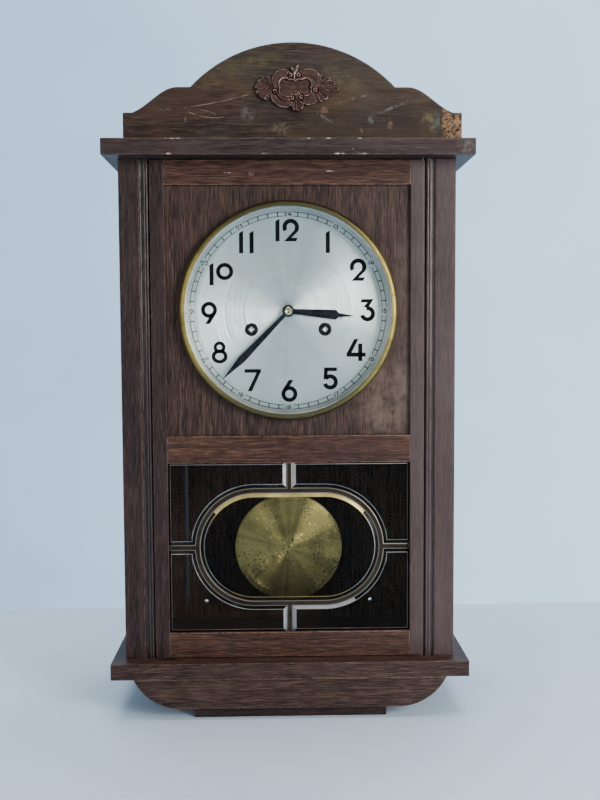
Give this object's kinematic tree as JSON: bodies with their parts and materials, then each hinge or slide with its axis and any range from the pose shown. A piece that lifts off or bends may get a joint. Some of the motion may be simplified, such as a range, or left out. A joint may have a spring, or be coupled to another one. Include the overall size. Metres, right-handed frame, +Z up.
{
  "type": "pendulum wall clock",
  "caption": "Wooden wall clock with an arched crest, a silvered dial behind a brass bezel, and a leaded glass door over a brass pendulum bob.",
  "frame": {"origin": "under the middle of the foot, at the level the clock stands on", "axes": "+X to the right as seen from the front, +Y to the wall behind the clock, +Z up"},
  "size_m": [0.3536, 0.172, 0.658],
  "materials": {
    "case_wood": "worn dark stain on open-grained oak",
    "rail_wood": "worn dark stain, redder",
    "panel_wood": "faded dark stain",
    "crest_wood": "worn stain with a dull bloom",
    "carving_wood": "reddish stain, worn on the high places",
    "bare_wood": "plain stained board",
    "bezel_brass": "spun brass, dulled",
    "bob_brass": "spun brass with dark specks",
    "came_brass": "dark brass cames",
    "movement_brass": "brushed brass",
    "dial_silver": "silvered, spun",
    "black_metal": "black enamel",
    "blued_steel": "blackened, polished facets",
    "steel": "plain steel",
    "spring_steel": "tempered steel",
    "gong_bronze": "drawn bronze rod",
    "cast_block": "black cast iron",
    "clear_glass": "clear plate glass",
    "hanger_steel": "plain steel plate"
  },
  "bodies": {
    "case": {"side_boards": "case_wood", "bead_strips": "case_wood", "back_board": "bare_wood", "cornice_board": "case_wood", "crest_board": "crest_wood", "crest_carving": "carving_wood", "shelf_board": "case_wood", "apron": "case_wood", "foot_plate": "bare_wood", "hanger_plate": "hanger_steel", "dial_plate": "dial_silver", "dial_grommets": "black_metal", "front_plate": "movement_brass", "back_plate": "movement_brass", "plate_pillars": "movement_brass", "movement_posts": "steel", "suspension_cock": "movement_brass", "suspension_spring": "spring_steel", "gong_block": "cast_block", "gong_rods": "gong_bronze", "hammer_arbor": "steel"},
    "door": {"door_stiles": "case_wood", "door_rails": "rail_wood", "dial_panel": "panel_wood", "bezel": "bezel_brass", "sight_ring": "bezel_brass", "dial_glass": "clear_glass", "glass_panes": "clear_glass", "came_frame": "came_brass", "glazing_beads": "bare_wood", "door_pivots": "movement_brass"},
    "centre": {"centre_wheel": "movement_brass", "cannon_pinion": "movement_brass", "minute_hand": "blued_steel", "hand_nut": "movement_brass"},
    "hour": {"hour_wheel": "movement_brass", "hour_hand": "blued_steel"},
    "minute_wheel": {"minute_wheel": "movement_brass"},
    "second_wheel": {"second_wheel": "movement_brass"},
    "third_wheel": {"third_wheel": "movement_brass"},
    "escape_wheel": {"escape_wheel": "movement_brass"},
    "time_barrel": {"time_barrel": "movement_brass", "time_mainspring": "spring_steel"},
    "time_winding": {"time_winding_arbor": "steel"},
    "time_click": {"time_click": "steel"},
    "anchor": {"pallet_anchor": "steel"},
    "pendulum": {"pendulum_rod": "steel"},
    "bob": {"pendulum_bob": "bob_brass"},
    "nut": {"rating_nut": "bob_brass"},
    "pin_wheel": {"pin_wheel": "movement_brass"},
    "strike_barrel": {"strike_barrel": "movement_brass", "strike_mainspring": "spring_steel"},
    "strike_winding": {"strike_winding_arbor": "steel"},
    "strike_click": {"strike_click": "steel"},
    "locking_wheel": {"locking_wheel": "movement_brass"},
    "warning_wheel": {"warning_wheel": "movement_brass"},
    "fly": {"fly": "movement_brass"},
    "count_wheel": {"count_wheel": "movement_brass"},
    "front_hammer": {"hammer_front": "movement_brass"},
    "back_hammer": {"hammer_back": "movement_brass"}
  },
  "joints": [
    {"name": "door_hinge", "type": "hinge", "parent": "case", "child": "door", "pos_m": [0.1307, -0.0615, 0.3], "axis": [0, 0, 1], "range_deg": [0, 110]},
    {"name": "minute_turn", "type": "hinge", "parent": "case", "child": "centre", "pos_m": [0, -0.014, 0.4], "axis": [0, 1, 0], "continuous": true},
    {"name": "hour_turn", "type": "hinge", "parent": "case", "child": "hour", "pos_m": [0, -0.045, 0.4], "axis": [0, 1, 0], "continuous": true},
    {"name": "minute_wheel_turn", "type": "hinge", "parent": "case", "child": "minute_wheel", "pos_m": [-0.00688, -0.04, 0.39017], "axis": [0, 1, 0], "continuous": true},
    {"name": "second_wheel_turn", "type": "hinge", "parent": "case", "child": "second_wheel", "pos_m": [0.01994, -0.014, 0.40659], "axis": [0, 1, 0], "continuous": true},
    {"name": "third_wheel_turn", "type": "hinge", "parent": "case", "child": "third_wheel", "pos_m": [-0.01147, -0.014, 0.41638], "axis": [0, 1, 0], "continuous": true},
    {"name": "escape_wheel_turn", "type": "hinge", "parent": "case", "child": "escape_wheel", "pos_m": [-0.00247, -0.014, 0.43197], "axis": [0, 1, 0], "continuous": true},
    {"name": "time_barrel_turn", "type": "hinge", "parent": "case", "child": "time_barrel", "pos_m": [0.0362, -0.014, 0.3821], "axis": [0, 1, 0], "continuous": true},
    {"name": "time_winding", "type": "hinge", "parent": "case", "child": "time_winding", "pos_m": [0.0362, -0.014, 0.3821], "axis": [0, 1, 0], "continuous": true},
    {"name": "time_click_lift", "type": "hinge", "parent": "case", "child": "time_click", "pos_m": [0.0382, -0.035, 0.3963], "axis": [0, 1, 0], "range_deg": [-12, 0], "stiffness_Nm_per_rad": 0.002},
    {"name": "pendulum_swing", "type": "hinge", "parent": "case", "child": "pendulum", "pos_m": [0, 0.028, 0.444], "axis": [0, 1, 0], "range_deg": [-3.5, 3.5], "deforming": ["suspension_spring"]},
    {"name": "anchor_rock", "type": "hinge", "parent": "case", "child": "anchor", "pos_m": [0, -0.014, 0.444], "axis": [0, 1, 0], "range_deg": [-3.6, 3.6]},
    {"name": "bob_height", "type": "slide", "parent": "pendulum", "child": "bob", "axis": [0, 0, 1], "range_m": [-0.0028, 0.0028]},
    {"name": "rating_nut_turn", "type": "hinge", "parent": "bob", "child": "nut", "pos_m": [0, 0.028, 0.0852], "axis": [0, 0, 1], "range_deg": [-1500, 1500]},
    {"name": "pin_wheel_turn", "type": "hinge", "parent": "case", "child": "pin_wheel", "pos_m": [-0.04095, -0.014, 0.41111], "axis": [0, 1, 0], "continuous": true},
    {"name": "strike_barrel_turn", "type": "hinge", "parent": "case", "child": "strike_barrel", "pos_m": [-0.0362, -0.014, 0.3821], "axis": [0, 1, 0], "continuous": true},
    {"name": "strike_winding", "type": "hinge", "parent": "case", "child": "strike_winding", "pos_m": [-0.0362, -0.014, 0.3821], "axis": [0, 1, 0], "continuous": true},
    {"name": "strike_click_lift", "type": "hinge", "parent": "case", "child": "strike_click", "pos_m": [-0.0382, -0.035, 0.3963], "axis": [0, 1, 0], "range_deg": [0, 12], "stiffness_Nm_per_rad": 0.002},
    {"name": "locking_wheel_turn", "type": "hinge", "parent": "case", "child": "locking_wheel", "pos_m": [-0.0322, -0.014, 0.42627], "axis": [0, 1, 0], "continuous": true},
    {"name": "warning_wheel_turn", "type": "hinge", "parent": "case", "child": "warning_wheel", "pos_m": [-0.02889, -0.014, 0.43863], "axis": [0, 1, 0], "continuous": true},
    {"name": "fly_turn", "type": "hinge", "parent": "case", "child": "fly", "pos_m": [-0.03904, -0.014, 0.44233], "axis": [0, 1, 0], "continuous": true},
    {"name": "count_wheel_turn", "type": "hinge", "parent": "case", "child": "count_wheel", "pos_m": [-0.03629, 0.009, 0.39373], "axis": [0, 1, 0], "continuous": true},
    {"name": "front_hammer_lift", "type": "hinge", "parent": "case", "child": "front_hammer", "pos_m": [-0.053, -0.014, 0.436], "axis": [0, 1, 0], "range_deg": [0, 14], "stiffness_Nm_per_rad": 0.02, "springref_deg": -20.05},
    {"name": "back_hammer_lift", "type": "hinge", "parent": "case", "child": "back_hammer", "pos_m": [-0.053, -0.014, 0.436], "axis": [0, 1, 0], "range_deg": [0, 14], "stiffness_Nm_per_rad": 0.02, "springref_deg": -20.05}
  ],
  "couplings": [
    {"joint": "hour_turn", "follows": "minute_turn", "ratio": 0.083333},
    {"joint": "minute_wheel_turn", "follows": "minute_turn", "ratio": -0.33333},
    {"joint": "second_wheel_turn", "follows": "minute_turn", "ratio": -0.16667},
    {"joint": "time_barrel_turn", "follows": "minute_turn", "ratio": 0.027778},
    {"joint": "third_wheel_turn", "follows": "minute_turn", "ratio": -9},
    {"joint": "escape_wheel_turn", "follows": "minute_turn", "ratio": 81},
    {"joint": "anchor_rock", "follows": "pendulum_swing", "ratio": 1},
    {"joint": "rating_nut_turn", "follows": "bob_height", "rad_per_m": 8976},
    {"joint": "strike_barrel_turn", "follows": "pin_wheel_turn", "ratio": -0.16667},
    {"joint": "locking_wheel_turn", "follows": "pin_wheel_turn", "ratio": -6},
    {"joint": "warning_wheel_turn", "follows": "pin_wheel_turn", "ratio": 32.4},
    {"joint": "fly_turn", "follows": "pin_wheel_turn", "ratio": -162},
    {"joint": "count_wheel_turn", "follows": "pin_wheel_turn", "ratio": -0.11111}
  ]
}
